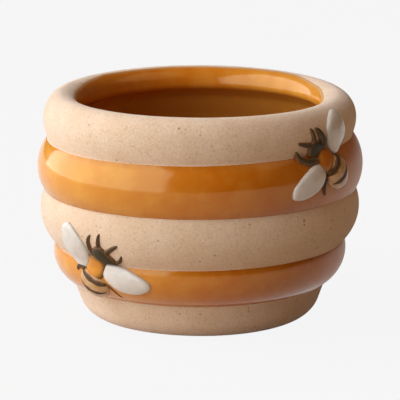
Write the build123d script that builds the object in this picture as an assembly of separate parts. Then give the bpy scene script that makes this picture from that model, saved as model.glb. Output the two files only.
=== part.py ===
"""A squat stoneware plant pot shaped like a coiled beehive: five rounded rings, two of
them glazed in honey, a glazed inside, and two bees pressed on in relief.

Millimetres, +Z up. The origin is the middle of the underside, on the pot's axis. The side
with both bees faces -Y."""

from build123d import *
import math
import os

# Pot: its overall size, and the width of the mouth inside the rolled lip
pot_height = 97.4
pot_width = 140.0
mouth_width = 102.4

# Pot: the outline's main places, as shares of half the width and of the height
groove_radius_shares = (0.937, 0.958, 0.8925, 0.7815)
groove_height_shares = (0.8095, 0.575, 0.345, 0.163)
rim_radius_share = 0.961
rim_height_share = 0.887
mouth_height_share = 0.92
base_radius_share = 0.74
base_height_share = 0.0815
foot_radius_share = 0.58
ring_bulge = 3.65
rim_flank_share = 0.1
foot_width = 7.0
foot_recess = 1.2
same_place = 0.05

# Pot: the clay's thickness, and the softer shape that the inside has
wall = 6.0
floor_thickness = 7.0
inner_bulge = 2.4
inner_groove_rounding = 4.0
floor_rounding = 6.0

# Glaze: a coat over the inside, from the floor up onto the lip, and over two of the rings,
# named here from the rim down
glaze = 0.5
glaze_line_share = 0.8
ring_coats = ("upper_band_glaze", "", "lower_band_glaze")

# Bees: the angle round the pot from the front, the way down the wall from the crest as a
# share of the wall's length, and the way that the head points. The wings were cut and
# pressed on by hand, so each has its own sweep, and its own root and size as shares
bees = {
    "lower_bee": {
        "angle": -41.4, "down_share": 0.6335, "heading": 64.0, "aside_share": 0.05,
        "left_wing": {"sweep": 36.5, "root_shares": (0.4, -0.17), "size_shares": (0.92, 0.84)},
        "right_wing": {"sweep": 12.6, "root_shares": (0.05, -0.05), "size_shares": (1.18, 0.96)},
    },
    "upper_bee": {
        "angle": 48.1, "down_share": 0.2335, "heading": 122.0, "aside_share": 0.22,
        "left_wing": {"sweep": -2.9, "root_shares": (0.0, -0.08), "size_shares": (0.94, 0.98)},
        "right_wing": {"sweep": 42.2, "root_shares": (0.48, -0.08), "size_shares": (0.89, 1.17)},
    },
}
wrap_radius = 66.0
groove_bridge = 8.0
root_depth = 7.0

# Bees: the body's three lumps, each an oval with a rounded back
thorax_width = 9.4
thorax_length = 11.4
thorax_relief = 3.2
thorax_crown = 7.5
head_width = 9.0
head_length = 7.2
head_relief = 2.9
head_crown = 6.5
head_ahead = 9.3
abdomen_width = 14.8
abdomen_length = 16.8
abdomen_relief = 3.6
abdomen_crown = 13.5
abdomen_behind = 10.9

# Bees: the dark stripes, a thin coat over the abdomen
stripe_place_shares = (0.19, 0.51, 0.8)
stripe_width = 2.2
stripe_coat = 0.6

# Bees: the wings, each a petal drawn round three circles, even in thickness
wing_length = 21.0
wing_width = 11.6
wing_root_width = 6.6
wing_tip_width = 3.6
wing_waist_share = 0.47
wing_relief = 2.2

# Bees: the feelers and legs, thin rolls of clay, from beside the middle out to a tip
limb_relief = 1.3
antenna_root = 11.0
antenna_tip = 16.2
antenna_parting = 1.8
antenna_spread = 4.8
antenna_root_width = 2.0
antenna_tip_width = 1.3
foreleg_root = 5.0
foreleg_knee = 9.0
foreleg_tip = 13.6
foreleg_parting = 4.3
foreleg_spread = 7.6
foreleg_width = 2.8
foreleg_tip_width = 1.3
hind_leg_root = 5.8
hind_leg_tip = 10.5
hind_leg_parting = 7.4
hind_leg_spread = 10.9
hind_leg_width = 2.2


def at(radius_share, height_share):
    """A place on the pot's section"""
    return radius_share * pot_width / 2, height_share * pot_height


def grooves(proud):
    """The corners between the rings, from the rim down, this far out from the wall"""
    corners = [at(*shares) for shares in zip(groove_radius_shares, groove_height_shares)]
    return [(radius + proud, height) for radius, height in corners]


def ring_arc(above, below, bulge):
    """One ring's outline between two corners, proud of the straight line between them"""
    start, end = Vector(*above), Vector(*below)
    outward = Vector(start.Y - end.Y, end.X - start.X).normalized()
    return ThreePointArc(start, (start + end) / 2 + outward * bulge, end)


def crest_radius():
    """The top of the rim, midway between the mouth and the rim's widest place"""
    return (mouth_width / 2 + at(rim_radius_share, 0)[0]) / 2


def outside(proud):
    """Everything inside the pot's outside, as if it were full, or this much larger"""
    corners = grooves(proud)
    rim_radius, rim_height = at(rim_radius_share, rim_height_share)
    base_radius, base_height = at(base_radius_share, base_height_share)
    foot_radius = at(foot_radius_share, 0)[0]
    rim = (rim_radius + proud, rim_height)
    crest = (crest_radius(), pot_height + proud)
    shoulder = EllipticalCenterArc((crest[0], rim[1]), rim[0] - crest[0], crest[1] - rim[1])
    flank = ring_arc(rim, corners[0], ring_bulge * rim_flank_share)
    rings = [ring_arc(above, below, ring_bulge) for above, below in zip(corners, corners[1:])]
    base = (base_radius + proud, base_height)
    foot = (foot_radius + proud, 0)
    base_turn = TangentArc(foot, base, tangent=(1, 0))
    rest = Polyline(foot, (0, 0), (0, crest[1]), crest)
    return make_face([shoulder, flank, *rings, Line(corners[-1], base), base_turn, *rest.edges()])


def softened(face, corners, rounding):
    """A section with the corners at these places rounded"""
    chosen = [vertex for vertex in face.vertices()
              if any((Vector(vertex) - Vector(*corner)).length < same_place for corner in corners)]
    return fillet(chosen, rounding)


def hollow(coat):
    """The space inside the pot, up to the crest: a rolled lip, soft rings and a flat floor

    coat is 0 for the finished inside, and the glaze's thickness for the bare clay."""
    crest = (crest_radius(), pot_height - coat)
    mouth = (mouth_width / 2 + coat, mouth_height_share * pot_height)
    slant = math.sqrt(0.5)
    roll = (crest[0] - (crest[0] - mouth[0]) * slant, mouth[1] + (crest[1] - mouth[1]) * slant)
    corners = grooves(coat - wall)
    floor_corner = (at(base_radius_share, 0)[0] - wall + coat, floor_thickness - coat)
    rings = [ring_arc(above, below, inner_bulge) for above, below in zip(corners, corners[1:])]
    rest = Polyline(corners[-1], floor_corner, (0, floor_corner[1]), (0, crest[1]), crest)
    face = make_face([ThreePointArc(crest, roll, mouth), Line(mouth, corners[0]), *rings,
                      *rest.edges()])
    face = softened(face, corners, inner_groove_rounding)
    return softened(face, [floor_corner], floor_rounding)


def liner_face():
    """The glaze over the inside, from the floor up to its line on the lip"""
    mouth_height = mouth_height_share * pot_height
    line_height = mouth_height + glaze_line_share * (pot_height - mouth_height)
    reach = Rectangle(pot_width, line_height, align=Align.MIN)
    return (hollow(glaze) & reach) - hollow(0)


def band_face(above, below):
    """The glaze over one ring, its two edges square to the clay"""
    arc = ring_arc(above, below, ring_bulge)
    inner = [point + (arc.arc_center - point).normalized() * glaze
             for point in (arc @ 0, arc @ 0.5, arc @ 1)]
    ends = [Line(arc @ 0, inner[0]), Line(arc @ 1, inner[2])]
    return make_face([arc, *ends, ThreePointArc(*inner)])


def turned(face):
    """A section swept right round the pot's axis"""
    return revolve(Plane.XZ * face, Axis.Z)


def make_pot():
    """The clay body and its glaze coats, each coat in its own shallow seat"""
    corners = grooves(0)
    coats = {"liner_glaze": liner_face()}
    for name, above, below in zip(ring_coats, corners, corners[1:]):
        if name:
            coats[name] = band_face(above, below)
    foot_radius = at(foot_radius_share, 0)[0]
    recess = Rectangle(foot_radius - foot_width, foot_recess, align=Align.MIN)
    clay = outside(0) - hollow(0) - recess
    for coat in coats.values():
        clay -= coat
    return {"pot_body": turned(clay)} | {name: turned(coat) for name, coat in coats.items()}


def soft_outside(proud):
    """The outside as a soft piece of clay meets it, bridging the grooves"""
    return softened(outside(proud), grooves(proud), groove_bridge)


def soft_wall():
    """The line down the soft outside, between the crest of the rim and the foot"""
    return Wire([edge for edge in soft_outside(0).edges()
                 if min(vertex.X for vertex in edge.vertices()) > same_place])


full_pot = turned(outside(0))
wing_ceiling = turned(soft_outside(wing_relief))
limb_ceiling = turned(soft_outside(limb_relief))
wall_line = soft_wall()


def on_wall(down):
    """A place on the soft wall, this far down it from the crest"""
    start_at_crest = (wall_line @ 0).Y > (wall_line @ 1).Y
    return wall_line.position_at(down if start_at_crest else wall_line.length - down,
                                 PositionMode.LENGTH)


def seat(bee, across, ahead, turn, reach):
    """The plane on which one piece of a bee lies, touching the wall this far above and below

    across and ahead are measured from the thorax, across to the bee's right. turn is the
    way that the piece points, anticlockwise from the bee's own heading."""
    heading = math.radians(bee["heading"])
    along_ring = across * math.sin(heading) + ahead * math.cos(heading)
    down = (bee["down_share"] * wall_line.length
            + across * math.cos(heading) - ahead * math.sin(heading))
    above, here, below = on_wall(down - reach), on_wall(down), on_wall(down + reach)
    climb = (above - below).normalized()
    out = Vector(climb.Y, -climb.X)
    here += out * max(0, out.dot((above + below) / 2 - here))
    angle = math.radians(bee["angle"]) + along_ring / wrap_radius
    level = Vector(math.cos(angle), math.sin(angle), 0)

    def swung(flat):
        """A direction or place in the section, swung round the axis to its angle"""
        return Vector(flat.X * math.sin(angle), -flat.X * math.cos(angle), flat.Y)

    right = level * math.sin(heading + turn) - swung(climb) * math.cos(heading + turn)
    return Plane(swung(here), x_dir=right, z_dir=swung(out))


def drawn_round(*circles):
    """The outline drawn tightly round circles given as across, ahead and width"""
    rounds = [Pos(across, ahead) * Circle(width / 2) for across, ahead, width in circles]
    return make_hull([edge for one in rounds for edge in one.edges()])


def room(place, outline):
    """The room that a piece of this outline takes, from inside the wall to above its back"""
    return place * extrude(outline, root_depth, both=True)


def lump(bee, across, ahead, width, length, relief, crown):
    """The room and the rounded back of the head, thorax or abdomen, an oval"""
    place = seat(bee, across, ahead, 0, length / 2)
    back = place * Pos(0, 0, relief - crown) * Sphere(crown)
    return room(place, Ellipse(width / 2, length / 2)), back


def wing(bee, name, side):
    """The room of one wing on the bee's left or right, and its back, which follows the wall"""
    pressed = bee[name]
    length, width = [share * size for share, size in
                     zip(pressed["size_shares"], (wing_length, wing_width))]
    root_across, root_ahead = [share * wing_length for share in pressed["root_shares"]]
    half = length / 2
    outline = drawn_round((0, wing_root_width / 2 - half, wing_root_width),
                          (0, wing_waist_share * length - half, width),
                          (0, half - wing_tip_width / 2, wing_tip_width))
    sweep = math.radians(pressed["sweep"])
    place = seat(bee, side * (root_across + half * math.cos(sweep)),
                 root_ahead + half * math.sin(sweep), side * (sweep - math.pi / 2), width / 2)
    return room(place, outline), wing_ceiling


def limb(bee, side, *joints):
    """The room and back of a thin roll of clay through joints given as across, ahead, width"""
    middle_across = side * (joints[0][0] + joints[-1][0]) / 2
    middle_ahead = (joints[0][1] + joints[-1][1]) / 2
    rounds = [(side * across - middle_across, ahead - middle_ahead, width)
              for across, ahead, width in joints]
    outline = Sketch() + [drawn_round(*pair) for pair in zip(rounds, rounds[1:])]
    place = seat(bee, middle_across, middle_ahead, 0, abs(joints[0][1] - joints[-1][1]) / 2)
    return room(place, outline), limb_ceiling


def pressed_on(piece, others):
    """A piece under its back, cut to the wall and to the rooms of the ones pressed on before"""
    taken, back = piece
    return (taken & back) - [other_room for other_room, _ in others] - full_pot


def stripes(bee, across, abdomen):
    """The dark coat over the abdomen, in bands straight across it"""
    place = seat(bee, across, -abdomen_behind, 0, abdomen_length / 2)
    core = place * Pos(0, 0, abdomen_relief - abdomen_crown) * Sphere(abdomen_crown - stripe_coat)
    strokes = [Pos(0, (0.5 - share) * abdomen_length) * Rectangle(abdomen_width, stripe_width)
               for share in stripe_place_shares]
    return group([(abdomen & room(place, stroke)) - core for stroke in strokes])


def group(pieces):
    """Separate pieces under one name"""
    return Compound([solid for piece in pieces for solid in piece.solids()])


def make_bee(bee):
    """The pieces of one bee, each cut round the ones pressed on before it"""
    aside = bee["aside_share"] * abdomen_width
    sides = {"left_wing": -1, "right_wing": 1}
    thorax = lump(bee, 0, 0, thorax_width, thorax_length, thorax_relief, thorax_crown)
    head = lump(bee, 0, head_ahead, head_width, head_length, head_relief, head_crown)
    abdomen = lump(bee, aside, -abdomen_behind, abdomen_width, abdomen_length, abdomen_relief,
                   abdomen_crown)
    body = [thorax, head, abdomen]
    wings = {name: wing(bee, name, side) for name, side in sides.items()}
    flat = body + list(wings.values())
    forelegs = [limb(bee, side,
                     (foreleg_parting, foreleg_root, foreleg_width),
                     (foreleg_spread, foreleg_knee, foreleg_width),
                     (foreleg_spread, foreleg_tip, foreleg_tip_width))
                for side in sides.values()]
    hind_legs = [limb(bee, side,
                      (hind_leg_parting + side * aside, -hind_leg_root, hind_leg_width),
                      (hind_leg_spread + side * aside, -hind_leg_tip, hind_leg_width))
                 for side in sides.values()]
    antennae = [limb(bee, side,
                     (antenna_parting, antenna_root, antenna_root_width),
                     (antenna_spread, antenna_tip, antenna_tip_width))
                for side in sides.values()]
    bare_abdomen = pressed_on(abdomen, [thorax])
    coat = stripes(bee, aside, bare_abdomen)
    return {name: pressed_on(petal, body) for name, petal in wings.items()} | {
        "thorax": pressed_on(thorax, []),
        "head": pressed_on(head, [thorax]),
        "abdomen": bare_abdomen - coat,
        "stripes": coat,
        "forelegs": group([pressed_on(leg, flat) for leg in forelegs]),
        "hind_legs": group([pressed_on(leg, flat) for leg in hind_legs]),
        "antennae": group([pressed_on(antenna, flat + forelegs) for antenna in antennae]),
    }


nodes = make_pot()
for bee_name, bee in bees.items():
    for piece_name, piece in make_bee(bee).items():
        nodes[f"{bee_name}_{piece_name}"] = piece

os.makedirs("parts", exist_ok=True)
for name, shape in nodes.items():
    export_step(shape, f"parts/{name}.step")
    print(name, len(shape.solids()), round(shape.volume, 1))
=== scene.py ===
import math

import bmesh
import bpy
import numpy as np
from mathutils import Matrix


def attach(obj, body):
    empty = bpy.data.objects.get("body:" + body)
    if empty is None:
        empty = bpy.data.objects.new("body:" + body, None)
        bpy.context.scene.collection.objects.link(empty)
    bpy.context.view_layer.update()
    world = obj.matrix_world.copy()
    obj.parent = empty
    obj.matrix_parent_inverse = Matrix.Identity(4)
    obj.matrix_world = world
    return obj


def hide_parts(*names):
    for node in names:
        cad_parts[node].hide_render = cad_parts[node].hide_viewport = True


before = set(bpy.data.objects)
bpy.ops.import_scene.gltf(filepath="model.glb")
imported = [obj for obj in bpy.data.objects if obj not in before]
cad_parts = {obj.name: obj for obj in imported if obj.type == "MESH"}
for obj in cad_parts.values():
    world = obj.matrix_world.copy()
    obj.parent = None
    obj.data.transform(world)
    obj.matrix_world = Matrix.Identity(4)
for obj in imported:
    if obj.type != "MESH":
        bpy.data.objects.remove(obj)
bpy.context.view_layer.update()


# The clay body. Buff stoneware with coarse grit in it, thrown on a wheel and pressed in at four
# places, so that five rings stand out like a coiled straw hive. It is left bare outside and
# under the foot, and fires pale and sandy, with dark specks of iron.

MM = 0.001
groove_corners = [(65.6, 78.85), (67.1, 56.0), (62.5, 33.6), (54.7, 15.88)]
ring_bulge = 3.65
rim_widest = (67.3, 86.4)
rim_flank_bulge = 0.35
crest = (59.2, 97.4)
mouth = (51.2, 89.6)
base_edge = (51.8, 7.9)
foot_edge = (40.6, 0.0)
foot_inner = 33.6
foot_recess = 1.2
wall_thickness = 6.0
inner_bulge = 2.4
inner_rounding = 1.6
lip_undercut = [(51.4, 88.7), (53.8, 87.4), (57.8, 84.2)]
floor_height = 7.0
floor_corner_rise = 6.0
floor_corner_out = 2.1
floor_corner_in = 5.4
glaze_seat = 0.35
arc_points = 64
oval_points = 40
base_points = 30
section_step = 0.6
round_steps = 220
weld_reach = 0.01
least_edge = 0.001

# How far the real pot is out of true: each ring leans towards one side, the rim rises at two
# places, and the whole swells in waves of a size, a count, a start and a twist up the wall.
lean_heights = (0, 16, 34, 56, 79, 97)
leans = (0, 0.2, 0.8, 0.33, 1.1, -0.15)
rim_lift_heights = (86, 97)
rim_lift = 0.2
swell_waves = [(0.2, 2, 0.6, 0), (0.1, 3, 0, 1 / 19), (0.05, 5, 0, -1 / 11)]
full_swell_radius = 40


def arc_frame(start, end, bulge):
    """An arc's centre and radius, and the ways along its chord and out from it"""
    start, end = np.array(start), np.array(end)
    half = np.hypot(*(end - start)) / 2
    along = (end - start) / (2 * half)
    out = np.array((-along[1], along[0]))
    radius = (half * half + bulge * bulge) / (2 * bulge)
    return (start + end) / 2 + out * (bulge - radius), radius, along, out


def arc(start, end, bulge):
    """Points on an arc of the section from start to end, standing out this far from its chord"""
    centre, radius, along, out = arc_frame(start, end, bulge)
    half_turn = math.asin(math.dist(start, end) / 2 / radius)
    turn = np.linspace(-half_turn, half_turn, arc_points)[:, None]
    return centre + radius * (np.cos(turn) * out + np.sin(turn) * along)


def quarter_oval(centre, end, top):
    """Points from straight above the centre, at the height top, round to the end beside it"""
    turn = np.linspace(0, math.pi / 2, oval_points)
    return np.c_[centre[0] + (end[0] - centre[0]) * np.sin(turn),
                 end[1] + (top - end[1]) * np.cos(turn)]


def lengths(points):
    """How far along a line each of its points lies"""
    return np.r_[0, np.cumsum(np.hypot(*np.diff(points, axis=0).T))]


def places_at(wanted, gone, points):
    """The places that lie this far along a line, given how far each of its points lies"""
    return np.c_[np.interp(wanted, gone, points[:, 0]), np.interp(wanted, gone, points[:, 1])]


def evenly(points, step=section_step):
    """The same line with its points evenly spaced"""
    points = np.array(points, float)
    gone = lengths(points)
    return places_at(np.linspace(0, gone[-1], max(3, round(gone[-1] / step))), gone, points)


def smoothed(rows, weights):
    """A running mean of rows of two numbers, shorter than they are by the weights' width"""
    return np.c_[[np.convolve(rows[:, k], weights / weights.sum(), "valid") for k in (0, 1)]].T


def eased(points, reach):
    """The same line with its corners rounded over this reach, and its ends kept"""
    points = evenly(points)
    half = max(1, round(reach / section_step))
    lead = 2 * points[0] - points[half:0:-1]
    tail = 2 * points[-1] - points[-2:-half - 2:-1]
    return smoothed(np.vstack([lead, points, tail]), np.hanning(2 * half + 3)[1:-1])


def base_curve():
    """The turn from the lowest ring under to the foot, level where it meets the foot"""
    across, up = base_edge[0] - foot_edge[0], base_edge[1]
    radius = (across * across + up * up) / (2 * up)
    turn = np.linspace(math.acos(1 - up / radius), 0, base_points)
    return np.c_[foot_edge[0] + radius * np.sin(turn), radius * (1 - np.cos(turn))]


def rings_down(seats=(0, 0, 0)):
    """The outside, from the crest down to the foot, its three middle rings set back this far"""
    parts = [quarter_oval((crest[0], rim_widest[1]), rim_widest, crest[1]),
             arc(rim_widest, groove_corners[0], rim_flank_bulge)]
    for above, below, seat in zip(groove_corners, groove_corners[1:], seats):
        parts.append(arc(above, below, ring_bulge - seat))
    return evenly(np.vstack([*parts, base_curve()]))


def inside_down(seat=0):
    """The inside, from the crest over the lip and down to the middle of the floor"""
    corners = [(radius - wall_thickness + seat, height) for radius, height in groove_corners]
    lip_end = (mouth[0] + seat, mouth[1])
    parts = [quarter_oval((crest[0], mouth[1]), lip_end, crest[1] - seat),
             np.array(lip_undercut) + (seat, 0)]
    for above, below in zip(corners, corners[1:]):
        parts.append(arc(above, below, inner_bulge))
    level = floor_height - seat
    floor_edge = base_edge[0] - wall_thickness + seat
    parts.append(np.array([(floor_edge + floor_corner_out, level + floor_corner_rise),
                           (floor_edge - floor_corner_in, level), (0, level)]))
    line = eased(np.vstack(parts), inner_rounding)
    line[-1, 0] = 0
    return line


def by_hand(radius, angle, height):
    """A place on the true turned form, moved to where it is on the slightly uneven real pot"""
    lean = np.interp(height, lean_heights, leans) * np.sin(angle)
    lift = np.interp(height, rim_lift_heights, (0, rim_lift)) * np.cos(2 * angle)
    swell = sum(size * np.sin(count * angle + start + twist * height)
                for size, count, start, twist in swell_waves)
    radius = radius + swell * np.minimum(1, radius / full_swell_radius)
    return np.stack([radius * np.sin(angle), -radius * np.cos(angle), height + lean + lift],
                    -1) * MM


def finished(name, points, faces, label, values):
    """A mesh object made from points in metres, closed up, smooth and facing outward, which
    carries a value under this label at each of its points"""
    mesh = bpy.data.meshes.new(name)
    mesh.from_pydata([tuple(point) for point in points], [], faces)
    mesh.attributes.new(label, "FLOAT", "POINT").data.foreach_set("value", values)
    work = bmesh.new()
    work.from_mesh(mesh)
    bmesh.ops.remove_doubles(work, verts=work.verts, dist=weld_reach * MM)
    bmesh.ops.dissolve_degenerate(work, edges=work.edges, dist=least_edge * MM)
    bmesh.ops.recalc_face_normals(work, faces=work.faces)
    work.to_mesh(mesh)
    work.free()
    mesh.polygons.foreach_set("use_smooth", [True] * len(mesh.polygons))
    piece = bpy.data.objects.new(name, mesh)
    bpy.context.scene.collection.objects.link(piece)
    return piece


def turned(name, section_at, closed=True):
    """A ring or bowl: section_at gives its section, and a value for each point, at an angle"""
    points, values = [], []
    for angle in np.linspace(0, 2 * math.pi, round_steps, endpoint=False):
        section, value = section_at(angle)
        points.append(by_hand(section[:, 0], angle, section[:, 1]))
        values.append(value)
    count = len(points[0])
    spans = count if closed else count - 1
    faces = []
    for turn in range(round_steps):
        here, there = turn * count, (turn + 1) % round_steps * count
        for k in range(spans):
            after = (k + 1) % count
            faces.append((here + k, here + after, there + after, there + k))
    return finished(name, np.vstack(points), faces, "down", np.concatenate(values))


class Shade:
    """A number, colour or vector in a material, which takes part in ordinary sums"""

    def __init__(self, finish, socket):
        self.finish = finish
        self.socket = socket

    def sum(self, operation, first, second):
        return self.finish.node("ShaderNodeMath", {"operation": operation},
                                {0: first, 1: second})

    def __add__(self, other):
        return self.sum("ADD", self, other)

    def __sub__(self, other):
        return self.sum("SUBTRACT", self, other)

    def __rsub__(self, other):
        return self.sum("SUBTRACT", other, self)

    def __mul__(self, other):
        return self.sum("MULTIPLY", self, other)

    def __truediv__(self, other):
        return self.sum("DIVIDE", self, other)

    __radd__ = __add__
    __rmul__ = __mul__

    def rising(self, low, high):
        """0 up to low, 1 from high on, and smooth between them"""
        return self.finish.node("ShaderNodeMapRange", {"interpolation_type": "SMOOTHSTEP"},
                                {"Value": self, "From Min": low, "From Max": high})


class Finish:
    """A material, put together from expressions on its own nodes"""

    def __init__(self, name):
        self.material = bpy.data.materials.new(name)
        self.material.use_nodes = True
        self.tree = self.material.node_tree
        self.tree.nodes.clear()

    def node(self, kind, settings=(), values=(), output=0):
        """A new node: its settings first, then what its sockets hold or are linked to"""
        made = self.tree.nodes.new(kind)
        for setting, value in dict(settings).items():
            setattr(made, setting, value)
        for socket, value in dict(values).items():
            if isinstance(value, Shade):
                self.tree.links.new(value.socket, made.inputs[socket])
            elif made.inputs[socket].type == "RGBA":
                made.inputs[socket].default_value = (*value, 1)
            else:
                made.inputs[socket].default_value = value
        return Shade(self, made.outputs[output]) if made.outputs else None

    def place(self):
        """Where a point lies on the pot, in metres"""
        return self.node("ShaderNodeTexCoord", output="Object")

    def carried(self, label):
        """A value that the mesh carries at each of its points"""
        return self.node("ShaderNodeAttribute", {"attribute_name": label}, output="Fac")

    def cloud(self, size, detail=2.0, offset=0.0):
        """Soft noise around 0.5, its patches about this many millimetres across"""
        moved = self.node("ShaderNodeVectorMath", {"operation": "ADD"},
                          {0: self.place(), 1: (offset, offset * 2, -offset)})
        return self.node("ShaderNodeTexNoise", {}, {"Vector": moved, "Scale": 1 / (size * MM),
                                                    "Detail": detail, "Roughness": 0.55})

    def dots(self, spacing, share, size):
        """Small specks, 1 inside and 0 outside, in this share of cells of this spacing

        Each cell's own colour, which is random, decides if it has a speck and how large it is."""
        settings = {"feature": "F1"}
        values = {"Vector": self.place(), "Scale": 1 / (spacing * MM), "Randomness": 1.0}
        away = self.node("ShaderNodeTexVoronoi", settings, values, "Distance")
        cell = self.node("ShaderNodeTexVoronoi", settings, values, "Color")
        chance, growth = [self.node("ShaderNodeSeparateColor", {}, {0: cell}, name)
                          for name in ("Red", "Green")]
        reach = growth * (size / spacing) + size / spacing / 3
        chosen = 1 - chance.rising(share * 0.98, share)
        return (1 - (away / reach).rising(0.7, 1.0)) * chosen

    def blend(self, mask, below, above):
        """below where the mask is 0 and above where it is 1, both colours"""
        return self.node("ShaderNodeMix", {"data_type": "RGBA"},
                         {0: mask, 6: below, 7: above}, 2)

    def bump(self, height, depth, under=None):
        """The normal of a surface whose height, from 0 to 1, stands for this many millimetres"""
        values = {"Height": height, "Strength": 1.0, "Distance": depth * MM}
        if under:
            values["Normal"] = under
        return self.node("ShaderNodeBump", {}, values)

    def cover(self, **looks):
        """Ends the material with what its surface looks like, by the shader's own names"""
        names = {name.replace("_", " ").title().replace("Ior", "IOR"): value
                 for name, value in looks.items()}
        shader = self.node("ShaderNodeBsdfPrincipled", {}, names)
        self.node("ShaderNodeOutputMaterial", {}, {"Surface": shader})
        return self.material


clay_pale = (0.80, 0.59, 0.41)
clay_tan = (0.71, 0.48, 0.28)
clay_grain = (0.57, 0.36, 0.20)
iron_brown = (0.34, 0.17, 0.07)
iron_dark = (0.20, 0.09, 0.035)
white_grit = (0.90, 0.78, 0.65)

bare = Finish("bare clay")
colour = bare.blend(bare.cloud(11, 3).rising(0.35, 0.7) * 0.5, clay_pale, clay_tan)
colour = bare.blend(bare.cloud(0.9, 3).rising(0.46, 0.72) * 0.55, colour, clay_grain)
colour = bare.blend(bare.dots(1.3, 0.3, 0.35) * 0.5, colour, white_grit)
patches = bare.cloud(16, 2, 0.7).rising(0.35, 0.65) * 0.6 + 0.4
colour = bare.blend(bare.dots(1.2, 0.2, 0.36) * patches * 0.5, colour, iron_brown)
colour = bare.blend(bare.dots(2.9, 0.16, 0.5) * patches * 0.8, colour, iron_dark)
sand = bare.bump(bare.cloud(0.5, 4), 0.18)
clay_finish = bare.cover(base_color=colour, roughness=0.85, sheen_weight=0.4, sheen_roughness=0.6,
                         normal=bare.bump(bare.cloud(2.2, 2), 0.18, sand))


# The line on the lip where the glaze inside ends, with the clay's seat for it just below: a
# share of the lip's height, more at the back, and waves of a size, a count and a start.
line_share = 0.72
line_rise = 0.265
line_waves = [(0.35, 3, 0.5), (0.2, 8, 0), (0.1, 21, 0)]
line_wander = sum(size for size, count, start in line_waves)
back_width = 1.5
back_calm = 0.9


def glaze_line(angle):
    """How high up the lip the glaze inside comes: nearly over the crest at the back"""
    rise = min(1, max(0, -back_width * math.cos(angle)))
    wander = sum(size * math.sin(count * angle + start) for size, count, start in line_waves)
    share = line_share + line_rise * rise
    return mouth[1] + share * (crest[1] - mouth[1]) + wander * (1 - back_calm * rise)


def clay_section(angle):
    """The body's whole section, from the middle of the floor over the rim to the middle below"""
    inner, outer = inside_down(glaze_seat), rings_down((glaze_seat, 0, glaze_seat))
    bare_lip = inside_down()
    seat_height = glaze_line(angle) - line_wander
    near_lip = (inner[:, 1] > seat_height) & (inner[:, 0] > mouth[0])
    inner = np.vstack([bare_lip[:near_lip.sum()], inner[near_lip.sum():]])
    under = np.array([(foot_inner, 0), (foot_inner - foot_recess, foot_recess), (0, foot_recess)])
    line = np.vstack([inner[::-1], outer[1:], under])
    return line, np.zeros(len(line))


pot = turned("clay_pot", clay_section, closed=False)
pot.data.materials.append(clay_finish)
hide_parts("pot_body")
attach(pot, "root")


# The honey glaze outside. Two of the five rings were brushed with a thick amber glaze, wiped
# back to the grooves, so each coat ends in a thin rounded edge. It is darker along both
# grooves. Its colour is painted paler on the lit left of the pot and darker in painted shade on
# the right, and its far right edge carries a painted tan reflection and is less glossy.

coat_proud = 0.08
coat_depth = 0.55
coat_step = 0.2
coat_points = 72
coat_edge_crowding = 1.8
coat_edge_sharpness = 60
coat_wander = 0.006
coat_margin = 0.004
coat_least_margin = 0.001

# The pale honey is also painted light on the lit side, the dark honey also painted shade on the
# shaded side, and the fade colour also a painted reflection on the far right edge.
honey_thin_and_lit = (0.74, 0.33, 0.045)
honey = (0.58, 0.150, 0.004)
honey_dark_for_shade_and_grooves = (0.33, 0.085, 0.006)
honey_fade_and_tan_reflection = (0.58, 0.37, 0.20)
pinhole = (0.06, 0.02, 0.008)


def honey_glaze(name, deepening, deep, fading=None, label="down", roughness=0.13, side=1,
                painted_right_edge=False):
    """The glaze, turning to its deep colour where the mesh's value says, and to the clay's where
    it fades

    The functions for the deep colour and for the fading take the value that the mesh carries
    under the label. The colour is painted paler on the lit side of the pot and darker in painted
    shade on its shaded side; side is -1 on a wall that faces inward, where the two sides swap.
    The flag at the end paints a tan reflection over the far right edge and dulls the glaze there."""
    amber = Finish(name)
    # right grows towards the shaded side: the pot's right outside, and with side -1 the inside
    # wall's left.
    right = amber.node("ShaderNodeSeparateXYZ", {}, {0: amber.place()}, "X") * side
    # Turns to the deep colour where the mesh's value says: along both grooves outside, towards a
    # thorax's edge, and below the lip inside.
    deepened = deepening(amber.carried(label)) * amber.cloud(5, 2, 0.3).rising(0.1, 0.8)
    # Paler where the glaze is thinner in random patches, and painted light: paler over the lit
    # side.
    thin_and_lit = amber.cloud(9, 3).rising(0.35, 0.7) * 0.3 + (1 - right.rising(-0.07, 0.02)) * 0.7
    colour = amber.blend(thin_and_lit, honey, honey_thin_and_lit)
    # Painted shade: darker over the shaded side.
    colour = amber.blend(right.rising(0.0, 0.05) * 0.35, colour, honey_dark_for_shade_and_grooves)
    colour = amber.blend(deepened, colour, deep)
    # Painted reflection: the far right edge is tinted tan for the reflection seen there, and made
    # rougher.
    if painted_right_edge:
        ragged = right + amber.cloud(7, 4) * 0.03
        colour = amber.blend(ragged.rising(0.066, 0.084) * 0.25, colour, honey_fade_and_tan_reflection)
        roughness = ragged.rising(0.046, 0.078) * 0.3 + roughness
    if fading:
        faded = fading(amber.carried(label))
        colour = amber.blend(faded, colour, honey_fade_and_tan_reflection)
        roughness = faded * 0.5 + roughness
    colour = amber.blend(amber.dots(7.5, 0.1, 0.45) * 0.8, colour, pinhole)
    ripple = amber.bump(amber.cloud(2.2, 2), 0.02)
    return amber.cover(base_color=colour, roughness=roughness, ior=1.5,
                       specular_tint=(1, 0.95, 0.6),
                       normal=amber.bump(amber.cloud(7, 1), 0.06, ripple))


# The outside glaze: darker along both grooves, painted paler on the lit left and darker in painted
# shade on the right, and with a painted tan reflection on its far right edge.
honey_finish = honey_glaze(
    "honey glaze",
    lambda down: down.rising(0.8, 1.0) * 0.5 + (1 - down.rising(0.0, 0.15)) * 0.5,
    honey_dark_for_shade_and_grooves, painted_right_edge=True)


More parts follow.
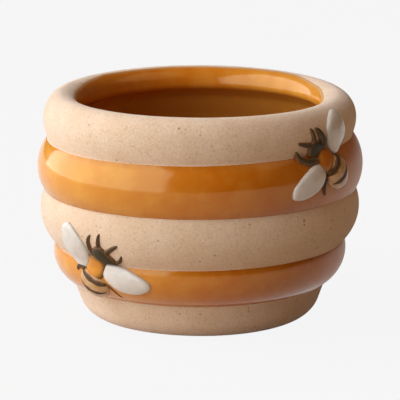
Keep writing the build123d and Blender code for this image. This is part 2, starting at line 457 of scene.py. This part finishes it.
def band_section(above, below, seed):
    """The section of a ring's glaze coat at an angle, its two edges wandering a little"""
    surface = evenly(arc(above, below, ring_bulge), coat_step)
    share = np.linspace(0, 1, len(surface))
    centre, radius, *_ = arc_frame(above, below, ring_bulge)
    steps = np.linspace(-1, 1, coat_points)
    spread = np.sign(steps) * (1 - (1 - np.abs(steps)) ** coat_edge_crowding)
    rounded = (1 - np.abs(spread) ** coat_edge_sharpness) ** 0.5
    proud = (rounded * (coat_proud + glaze_seat) - glaze_seat)[:, None]

    def margin(angle, start):
        """How far one of the coat's edges keeps from the groove, as a share of the ring"""
        waves = [(1, 4, seed + start), (1, 9, 2 * seed - start), (0.6, 23, start)]
        wander = sum(size * math.sin(count * angle + begin) for size, count, begin in waves)
        most = sum(size for size, count, begin in waves)
        return max(coat_least_margin, coat_margin + coat_wander * wander / most)

    def section(angle):
        low, high = margin(angle, 0), 1 - margin(angle, 2)
        place = low + (high - low) * (spread + 1) / 2
        line = places_at(place, share, surface)
        outward = (line - centre) / radius
        top, under = line + outward * proud, line - outward * coat_depth
        return np.vstack([top, under[::-1]]), np.r_[place, place[::-1]]

    return section


bands = {"upper": (0, 1.0), "lower": (2, 2.4)}
for where, (ring, seed) in bands.items():
    above, below = groove_corners[ring:ring + 2]
    band = turned(f"{where}_honey_band", band_section(above, below, seed))
    band.data.materials.append(honey_finish)
    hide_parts(f"{where}_band_glaze")
    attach(band, "root")


# The glaze inside. The same honey glaze was poured in, swilled round and poured out, so it
# covers the floor and wall and runs up over the lip to a line just inside the crest.

lining_step = 0.4
lining_points = 160
lining_edge_crowding = 1.3
lining_edge_roll = 0.7
lining_fade_reach = 4.0
depth_at_mouth = 0.35
depth_at_line = 0.3
least_gap = 0.01

honey_inside = (0.53, 0.215, 0.030)


def liner_section(angle):
    """The glaze coat's section inside the pot, from the middle of the floor up to its line

    Each point's value is the glaze's depth: 1 on the floor, and least at the line."""
    surface = evenly(inside_down(), lining_step)
    beneath = evenly(inside_down(coat_depth), lining_step)
    gone, gone_beneath = lengths(surface), lengths(beneath)
    line_height = glaze_line(angle)
    above = np.argmax(surface[:, 1] < line_height) + 1
    start = np.interp(-line_height, -surface[:above, 1], gone[:above])
    steps = np.linspace(0, 1, lining_points) ** lining_edge_crowding
    wanted = start + (gone[-1] - start) * steps
    top = places_at(wanted, gone, surface)
    under = places_at(wanted / gone[-1] * gone_beneath[-1], gone_beneath, beneath)
    inward = top - under
    inward /= np.maximum(np.hypot(*inward.T), least_gap)[:, None]
    from_line = wanted - start
    roll = np.clip(from_line / lining_edge_roll, 0, 1)[:, None]
    proud = np.sqrt(1 - (1 - roll) ** 2) * (glaze_seat + coat_proud) - glaze_seat
    top = top + inward * proud
    top[-1, 0] = under[-1, 0] = 0
    depth = np.interp(top[:, 1], (floor_height, mouth[1]), (1, depth_at_mouth))
    depth *= np.interp(from_line, (0, lining_fade_reach), (depth_at_line, 1))
    return np.vstack([top[::-1], under]), np.r_[depth[::-1], depth]


lining = turned("inside_glaze", liner_section, closed=False)
# Inside, the colour is painted paler on the right wall, which faces the lamp, and darker in
# painted shade on the left wall.
lining.data.materials.append(
    honey_glaze("honey glaze inside", lambda down: down.rising(0.34, 0.42) * 3, honey_inside,
                lambda down: (1 - down.rising(0.105, 0.28)) * 0.9, side=-1))
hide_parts("liner_glaze")
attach(lining, "root")


# The bees' bodies. Each bee is modelled straight onto the wall from soft lumps of clay, which
# bridge the grooves between the rings. The thorax is glazed in the same honey, the head in dark
# slip, and the abdomen in tan.

wrap_radius = 66.0
bridge_ball = 8.0
bridge_step = 0.25
ball_places = 1400
slope_window = 15
root_depth = 2.8

# Each bee's angle round the pot, its way down the wall and the way that its head points, then
# the outlines of its lumps, across and ahead of its thorax.
bees = {
    "lower_bee": {
        "angle": -41.4, "down": 71.7, "heading": 64.0,
        "thorax": ((-5.8, 3.6), (-3.0, 5.6), (0.8, 4.8), (3.3, 2.4), (3.7, -2.4), (1.4, -6.0),
                   (-2.4, -7.2), (-6.4, -6.0), (-7.0, -1.2)),
        "head": ((-4.3, 6.6), (-4.1, 9.6), (-1.4, 11.8), (2.4, 10.6), (6.4, 8.8), (7.8, 6.6),
                 (4.4, 4.8), (0.6, 4.0), (-2.4, 4.8)),
        "abdomen": ((-8.9, -7.4), (-8.0, -11.4), (-5.6, -14.8), (-1.4, -17.0), (3.6, -16.0),
                    (7.2, -12.0), (7.8, -7.4), (4.4, -5.0), (-1.2, -4.4), (-6.2, -5.2)),
    },
    "upper_bee": {
        "angle": 48.1, "down": 27.2, "heading": 122.0,
        "thorax": ((5.6, 5.2), (8.0, 1.4), (7.4, -2.8), (3.2, -4.9), (-1.4, -4.4), (-3.1, -1.2),
                   (-1.4, 3.0), (2.2, 5.2)),
        "head": ((1.8, 11.8), (4.6, 9.4), (6.4, 5.8), (3.0, 4.6), (-0.8, 4.2), (-2.8, 6.6),
                 (-1.6, 10.2)),
        "abdomen": ((10.4, -3.9), (11.5, -8.4), (9.4, -13.0), (5.4, -16.8), (0.6, -15.0),
                    (-2.4, -10.6), (-2.5, -6.2), (1.4, -3.8), (6.4, -2.8)),
    },
}


def beside(line):
    """The way square to a line at each of its points"""
    along = np.gradient(line, axis=0)
    return np.c_[-along[:, 1], along[:, 0]] / np.hypot(*along.T)[:, None]


def soft_wall():
    """The outside as a ball rolled down it would meet it, with the way out at each place"""
    radius, height = evenly(rings_down(), bridge_step).T
    balls = np.linspace(-2 * bridge_ball, crest[1] + 2 * bridge_ball, ball_places)
    gap = bridge_ball ** 2 - (height[None, :] - balls[:, None]) ** 2
    near, reach = gap > 0, np.sqrt(np.maximum(gap, 0))
    ball_radius = np.where(near, radius[None, :] + reach, -np.inf).max(1)
    met = np.where(near, ball_radius[:, None] - reach, np.inf).min(0)
    bridged = np.where(height > rim_widest[1], radius, np.maximum(met, radius))
    line = evenly(np.c_[bridged, height], bridge_step)
    window = np.hanning(slope_window)[1:-1]
    pad = len(window) // 2
    out = smoothed(np.pad(beside(line), ((pad, pad), (0, 0)), mode="edge"), window)
    return lengths(line), line, out


wall_gone, wall_line, wall_out = soft_wall()


def on_wall(bee, across, ahead, height):
    """Places on or above the wall, from how far they are across, ahead and up from the thorax"""
    heading = math.radians(bee["heading"])
    around = across * math.sin(heading) + ahead * math.cos(heading)
    down = bee["down"] + across * math.cos(heading) - ahead * math.sin(heading)
    angle = math.radians(bee["angle"]) + around / wrap_radius
    wall, out = [places_at(down, wall_gone, line).T for line in (wall_line, wall_out)]
    return by_hand(wall[0] + out[0] * height, angle, wall[1] + out[1] * height)


def lump(name, bee, outline, relief, rings=16, around=80):
    """A lump of clay pressed on: an outline, and its relief by the share of the way out to it"""
    middle, edge = outline(np.linspace(0, 2 * math.pi, around, endpoint=False))
    shares = np.sin(np.linspace(0, math.pi / 2, rings + 1))[1:]
    rows = [middle + share * (edge - middle) for share in shares]
    flat = np.vstack([middle[None, :], *rows, edge, middle[None, :]])
    share = np.r_[0, np.repeat(shares, around), np.ones(around + 1)]
    height = relief(share)
    height[-around - 1:] = -root_depth
    last = len(flat) - 1
    faces = [(0, 1 + k, 1 + (k + 1) % around) for k in range(around)]
    for row in range(rings):
        start = 1 + row * around
        faces += [(start + k, start + around + k, start + around + (k + 1) % around,
                   start + (k + 1) % around) for k in range(around)]
    start = 1 + rings * around
    faces += [(last, start + (k + 1) % around, start + k) for k in range(around)]
    points = on_wall(bee, flat[:, 0], flat[:, 1], height)
    return finished(name, points, faces, "edge", share ** 3)


def drawn(corners):
    """A smooth closed outline through these places, which lie across and ahead of the thorax"""
    corners = np.array(corners)

    def outline(turn):
        gone = turn / (2 * math.pi) * len(corners)
        first = np.floor(gone).astype(int)
        share = (gone - first)[:, None]
        before, here, after, beyond = (corners[(first + k) % len(corners)] for k in (-1, 0, 1, 2))
        bend = 2 * before - 5 * here + 4 * after - beyond
        twist = 3 * (here - after) + beyond - before
        edge = here + share / 2 * (after - before + share * (bend + share * twist))
        return corners.mean(0), edge

    return outline


def dome(relief, flatness, fullness=0.5):
    """A rounded back of this height: flatter on top the larger the second number, and fuller
    towards its edge the smaller the third"""
    def height(share):
        return relief * np.maximum(0, 1 - share ** flatness) ** fullness
    return height


slip_dark = (0.050, 0.034, 0.012)
slip_brown = (0.25, 0.115, 0.050)

dark = Finish("dark slip")
edge = dark.carried("edge")
worn = edge.rising(0.4, 1.0) * dark.cloud(1.6, 3).rising(0.2, 0.55)
colour = dark.blend(worn * 0.9, slip_dark, slip_brown)
dark_finish = dark.cover(base_color=colour, roughness=0.55, ior=1.3,
                         normal=dark.bump(dark.cloud(1.1, 3), 0.12))

tan_thin = (0.62, 0.37, 0.15)
tan_slip = (0.48, 0.24, 0.07)

tan = Finish("tan slip")
colour = tan.blend(tan.cloud(2.5, 3).rising(0.3, 0.7), tan_slip, tan_thin)
tan_finish = tan.cover(base_color=colour, roughness=0.4, coat_weight=0.3, coat_roughness=0.2,
                       normal=tan.bump(tan.cloud(1.4, 2), 0.08))

honey_edge = (0.17, 0.075, 0.015)
# The thoraxes get the same painted light as the pot: paler on the lower bee at the lit left,
# darker in painted shade on the upper bee at the right. Each is darker towards its edge.
honey_on_bees = honey_glaze("honey glaze on the bees", lambda edge: edge.rising(0.2, 1.0) * 2,
                            honey_edge, label="edge", roughness=0.35)

abdomen_back = dome(3.4, 2.4, 0.6)
body_pieces = {
    "thorax": (dome(2.3, 3.0), honey_on_bees, "honey_glaze"),
    "head": (dome(2.2, 2.8), dark_finish, "dark_slip"),
    "abdomen": (abdomen_back, tan_finish, "tan_slip"),
}

for bee_name, bee in bees.items():
    for piece_name, (back, finish, slot) in body_pieces.items():
        piece = lump(f"{bee_name}_{piece_name}_glazed", bee, drawn(bee[piece_name]), back)
        piece.data.materials.append(finish)
        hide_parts(f"{bee_name}_{piece_name}")
        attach(piece, "root")


# The abdomen's stripes: dark slip brushed across it in three strokes, thick in the middle of
# the stroke and thin and brown along its edges.

stripe_coat = 0.14
stripe_edge_sink = 0.02
stripe_points = 49
stripe_taper = 0.8
stripe_waver = 0.12
stripe_waver_rate = 19
strip_columns = 13
outline_steps = 400
least_wear = 0.45

# Each stroke's start, middle and end, across and ahead of the thorax, and its width.
stripe_lines = {
    "lower_bee": [((-8.8, -6.6), (-0.8, -6.6), (7.4, -5.6), 1.8),
                  ((-7.8, -10.2), (-0.2, -11.0), (7.4, -8.8), 1.8),
                  ((-4.8, -15.0), (0.4, -16.0), (5.4, -14.0), 0.7)],
    "upper_bee": [((10.0, -3.6), (4.2, -5.4), (-2.2, -5.4), 2.3),
                  ((11.0, -8.4), (4.6, -10.6), (-2.0, -9.4), 2.1),
                  ((9.0, -12.8), (5.0, -15.4), (0.6, -14.2), 0.9)],
}


def line_through(start, middle, end, count):
    """The even curve through three places: the share gone at each of its points, and the points"""
    start, middle, end = np.array(start), np.array(middle), np.array(end)
    gone = np.linspace(0, 1, count)[:, None]
    bend = 2 * middle - (start + end) / 2
    return gone, (1 - gone) ** 2 * start + 2 * gone * (1 - gone) * bend + gone ** 2 * end


def widened(line, half_width):
    """Places across a line, on each side as far as a grid of half widths says"""
    out = beside(line)
    return [line[:, k:k + 1] + out[:, k:k + 1] * half_width for k in (0, 1)]


def share_out(outline, across, ahead):
    """How far out from an outline's middle places lie, as a share of the way to its edge"""
    middle, edge = outline(np.linspace(0, 2 * math.pi, outline_steps))
    away = edge - middle
    bearing = np.arctan2(ahead - middle[1], across - middle[0])
    reach = np.interp(bearing, np.arctan2(away[:, 1], away[:, 0]), np.hypot(*away.T),
                      period=2 * math.pi)
    return np.minimum(1, np.hypot(across - middle[0], ahead - middle[1]) / reach)


def strip(name, bee, across, ahead, height, under_height):
    """A closed strip from grids of places and of heights for its top and its underside"""
    rows, columns = across.shape
    total = rows * columns
    top, under = [on_wall(bee, across.ravel(), ahead.ravel(), heights.ravel())
                  for heights in (height, under_height)]
    index = np.arange(total).reshape(rows, columns)
    faces = []
    for row in range(rows - 1):
        for column in range(columns - 1):
            a = row * columns + column
            quad = (a, a + 1, a + columns + 1, a + columns)
            faces += [quad, tuple(total + k for k in quad[::-1])]
    rim = [*index[0], *index[1:, -1], *index[-1, -2::-1], *index[-2:0:-1, 0]]
    faces += [(a, b, total + b, total + a) for a, b in zip(rim, rim[1:] + rim[:1])]
    out_row = np.abs(np.linspace(-1, 1, rows))[:, None]
    out_column = np.abs(np.linspace(-1, 1, columns))[None, :]
    edge = np.maximum(out_row ** 4, least_wear + (1 - least_wear) * out_column).ravel()
    return finished(name, np.vstack([top, under]), faces, "edge", np.r_[edge, edge])


def joined(name, parts):
    """Several strips as one piece"""
    work = bmesh.new()
    for part in parts:
        work.from_mesh(part.data)
        bpy.data.objects.remove(part)
    mesh = bpy.data.meshes.new(name)
    work.to_mesh(mesh)
    work.free()
    piece = bpy.data.objects.new(name, mesh)
    bpy.context.scene.collection.objects.link(piece)
    return piece


def stroke(name, bee, places, width):
    """One stripe: a stroke of slip over the abdomen's back, thinning out at its ends"""
    gone, line = line_through(*places, stripe_points)
    side = np.linspace(-1, 1, strip_columns)[None, :]
    from_middle = np.abs(2 * gone - 1)
    waver = 1 + stripe_waver * np.sin(gone * stripe_waver_rate)
    half = width / 2 * (1 - from_middle ** 3 * stripe_taper) * waver
    across, ahead = widened(line, half * side)
    back = abdomen_back(share_out(drawn(bee["abdomen"]), across, ahead))
    coat = stripe_coat * (1 - side ** 6) * (1 - from_middle ** 8) - stripe_edge_sink
    return strip(name, bee, across, ahead, back + coat, back - stripe_coat * 2)


for bee_name, bee in bees.items():
    strokes = [stroke(f"stroke_{number}", bee, places, width)
               for number, (*places, width) in enumerate(stripe_lines[bee_name])]
    stripes = joined(f"{bee_name}_stripes_brushed", strokes)
    stripes.data.materials.append(dark_finish)
    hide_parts(f"{bee_name}_stripes")
    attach(stripes, "root")


# The wings: petals of clay, cut thin, pressed on flat beside the thorax and glazed white. The
# glaze breaks to brown along the edges, and a soft ridge runs out along each wing.

wing_thickness = 1.5
wing_flatness = 9
wing_ridge = 0.7
wing_ridge_slope = 1.1
wing_rings = 20
wing_around = 96
wing_outlines = {
    "lower_bee": {
        "left": ((-5.8, -3.4), (-6.0, 3.0), (-9.4, 7.6), (-15.2, 10.2), (-20.6, 10.8),
                 (-23.2, 8.0), (-22.2, 2.6), (-20.0, -3.4), (-15.4, -7.2), (-9.4, -7.0)),
        "right": ((2.4, 0.4), (3.6, 3.8), (10.2, 6.5), (18.0, 7.3), (24.4, 6.9), (26.3, 4.6),
                  (24.6, 1.4), (20.6, -1.9), (14.0, -4.2), (8.0, -4.1), (3.8, -2.7)),
    },
    "upper_bee": {
        "left": ((-0.9, -0.6), (-3.6, 2.4), (-8.6, 3.0), (-14.2, 2.7), (-18.8, 1.4), (-20.7, -1.8),
                 (-17.6, -5.0), (-12.6, -6.6), (-7.0, -6.8), (-2.4, -4.8)),
        "right": ((8.1, 1.6), (9.2, 7.4), (13.2, 11.6), (18.4, 12.9), (23.4, 12.2), (24.2, 8.8),
                  (22.8, 3.6), (19.4, -1.6), (14.4, -4.2), (9.8, -3.4)),
    },
}

wing_white = (0.74, 0.68, 0.60)
wing_cool = (0.62, 0.56, 0.50)
wing_brown = (0.42, 0.29, 0.19)

white = Finish("white glaze")
edge = white.carried("edge")
colour = white.blend(white.cloud(4, 3).rising(0.3, 0.75) * 0.7, wing_white, wing_cool)
colour = white.blend(edge.rising(0.9, 1.0) * white.cloud(2.2, 2).rising(0.2, 0.7) * 0.75,
                     colour, wing_brown)
white_finish = white.cover(base_color=colour, roughness=0.34, coat_weight=0.35,
                           coat_roughness=0.16, normal=white.bump(white.cloud(2.5, 2), 0.1))

wing_petal = dome(wing_thickness, wing_flatness)


def wing_back(share):
    """A flat petal with rounded edges, rising softly towards its middle"""
    return wing_petal(share) + wing_ridge * (1 - share ** wing_ridge_slope)


for bee_name, outlines in wing_outlines.items():
    for side_name, places in outlines.items():
        wing = lump(f"{bee_name}_{side_name}_wing_glazed", bees[bee_name], drawn(places),
                    wing_back, wing_rings, wing_around)
        wing.data.materials.append(white_finish)
        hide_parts(f"{bee_name}_{side_name}_wing")
        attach(wing, "root")


# The legs and feelers: thin rolls of clay, tapered between the fingers, laid on in curves and
# painted with the same dark slip as the head.

limb_points = 33
limb_thickness = 0.52
tip_share = 0.6
tip_bluntness = 7
least_tip = 0.001

# Each roll's root, middle and tip, across and ahead of the thorax, and its width at the root.
limb_lines = {
    "lower_bee": {
        "antennae": [((-1.4, 10.4), (-2.9, 13.6), (-3.4, 16.9), 2.3),
                     ((1.8, 9.6), (4.0, 13.6), (6.2, 16.8), 2.4)],
        "forelegs": [((-3.6, 5.6), (-7.2, 9.4), (-7.3, 13.8), 2.5),
                     ((5.2, 6.6), (8.4, 8.4), (9.0, 13.0), 2.3)],
        "hind_legs": [((-7.6, -6.2), (-11.2, -7.2), (-12.2, -10.6), 3.2),
                      ((6.6, -5.8), (10.4, -7.0), (15.2, -9.6), 1.2)],
    },
    "upper_bee": {
        "antennae": [((0.8, 9.8), (-2.2, 12.7), (-4.9, 15.9), 2.9),
                     ((1.8, 10.0), (3.4, 13.7), (4.2, 17.1), 2.6)],
        "forelegs": [((-2.0, 3.4), (-7.0, 7.2), (-7.4, 13.2), 3.8),
                     ((5.4, 5.2), (6.9, 10.0), (6.2, 15.6), 4.2)],
        "hind_legs": [((-2.6, -5.8), (-5.6, -8.0), (-6.4, -12.3), 2.7),
                      ((9.8, -3.6), (11.9, -6.2), (12.2, -9.4), 1.2)],
    },
}


def roll(name, bee, places, width):
    """A tapered roll of clay, bent from its root through a middle place to its blunt tip"""
    gone, line = line_through(*places, limb_points)
    blunt = np.sqrt(np.maximum(least_tip, 1 - gone ** tip_bluntness))
    swell = (1 - (1 - tip_share) * gone) * blunt
    side = np.sin(np.linspace(-math.pi / 2, math.pi / 2, strip_columns))[None, :]
    across, ahead = widened(line, width / 2 * swell * side)
    height = width * limb_thickness * swell * np.sqrt(np.maximum(0, 1 - side ** 2))
    return strip(name, bee, across, ahead, height, np.full(across.shape, -root_depth))


for bee_name, limbs in limb_lines.items():
    for limb_name, pair in limbs.items():
        rolls = [roll(f"roll_{number}", bees[bee_name], places, width)
                 for number, (*places, width) in enumerate(pair)]
        limb = joined(f"{bee_name}_{limb_name}_rolled", rolls)
        limb.data.materials.append(dark_finish)
        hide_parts(f"{bee_name}_{limb_name}")
        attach(limb, "root")


# The table and the light. A pale seamless table, one very large soft lamp along the whole left
# side, and little but a weak warm return from the right, as in a small studio.

table_size = 12
table_own_light = 0.92
table_lit = (0.50, 0.36, 0.23)
table_seen = (0.970, 0.976, 0.986)
room_light = (0.075, 0.050, 0.033)

seen = Finish("pale table")
looking = [seen.node("ShaderNodeLightPath", output=ray)
           for ray in ("Is Camera Ray", "Is Glossy Ray", "Is Transmission Ray")]
mask = (looking[0] + looking[1] + looking[2]) * table_own_light
plain = seen.node("ShaderNodeBsdfDiffuse", {}, {"Color": table_lit})
glow = seen.node("ShaderNodeEmission", {}, {"Color": table_seen, "Strength": 1.0})
mixed = seen.node("ShaderNodeMixShader", {}, {0: mask, 1: plain, 2: glow})
seen.node("ShaderNodeOutputMaterial", {}, {"Surface": mixed})

bpy.ops.mesh.primitive_plane_add(size=table_size)
table = bpy.context.object
table.name = "table"
table.data.materials.append(seen.material)

world = bpy.data.worlds.new("studio")
bpy.context.scene.world = world
world.use_nodes = True
world.node_tree.nodes["Background"].inputs["Color"].default_value = (*room_light, 1)

lamps = {
    "key": {"place": (-1.05, -0.62, 1.27), "aim": (0, -0.62, 1.27), "size": (3.5, 2.5),
            "power": 78, "tint": (0.96, 1.0, 1.05)},
    "return": {"place": (0.95, -0.2, 1.6), "aim": (0, 0, 0.05), "size": (1.4, 1.2),
               "power": 5, "tint": (1.0, 0.66, 0.42)},
}


def soft_lamp(name, place, aim, size, power, tint):
    """A rectangular lamp at a place, turned to shine at another"""
    lamp = bpy.data.lights.new(name, "AREA")
    lamp.shape = "RECTANGLE"
    lamp.size, lamp.size_y = size
    lamp.energy = power
    lamp.color = tint
    stand = bpy.data.objects.new(name, lamp)
    stand.location = place
    to = np.array(aim) - np.array(place)
    yaw = math.atan2(-to[0], to[1])
    tilt = math.atan2(np.hypot(to[0], to[1]), -to[2])
    stand.rotation_euler = (tilt, 0, yaw)
    bpy.context.scene.collection.objects.link(stand)


for lamp_name, lamp in lamps.items():
    soft_lamp(lamp_name, **lamp)


# The camera. It stands a metre and a half in front of the pot and somewhat above it, with a
# long lens, and looks down at it, so that the mouth shows as a flat oval.

camera_place = (0, -1.5, 0.3881)
camera_pitch = 0.222
camera_lens = 320.4
camera_sensor = 36.0
camera_shift = 0.00075

eye = bpy.data.cameras.new("camera")
eye.sensor_width = camera_sensor
eye.lens = camera_lens
eye.shift_x = camera_shift
camera = bpy.data.objects.new("camera", eye)
camera.location = camera_place
camera.rotation_euler = (math.pi / 2 - camera_pitch, 0, 0)
bpy.context.scene.collection.objects.link(camera)
bpy.context.scene.camera = camera
bpy.context.scene.view_settings.view_transform = "Standard"
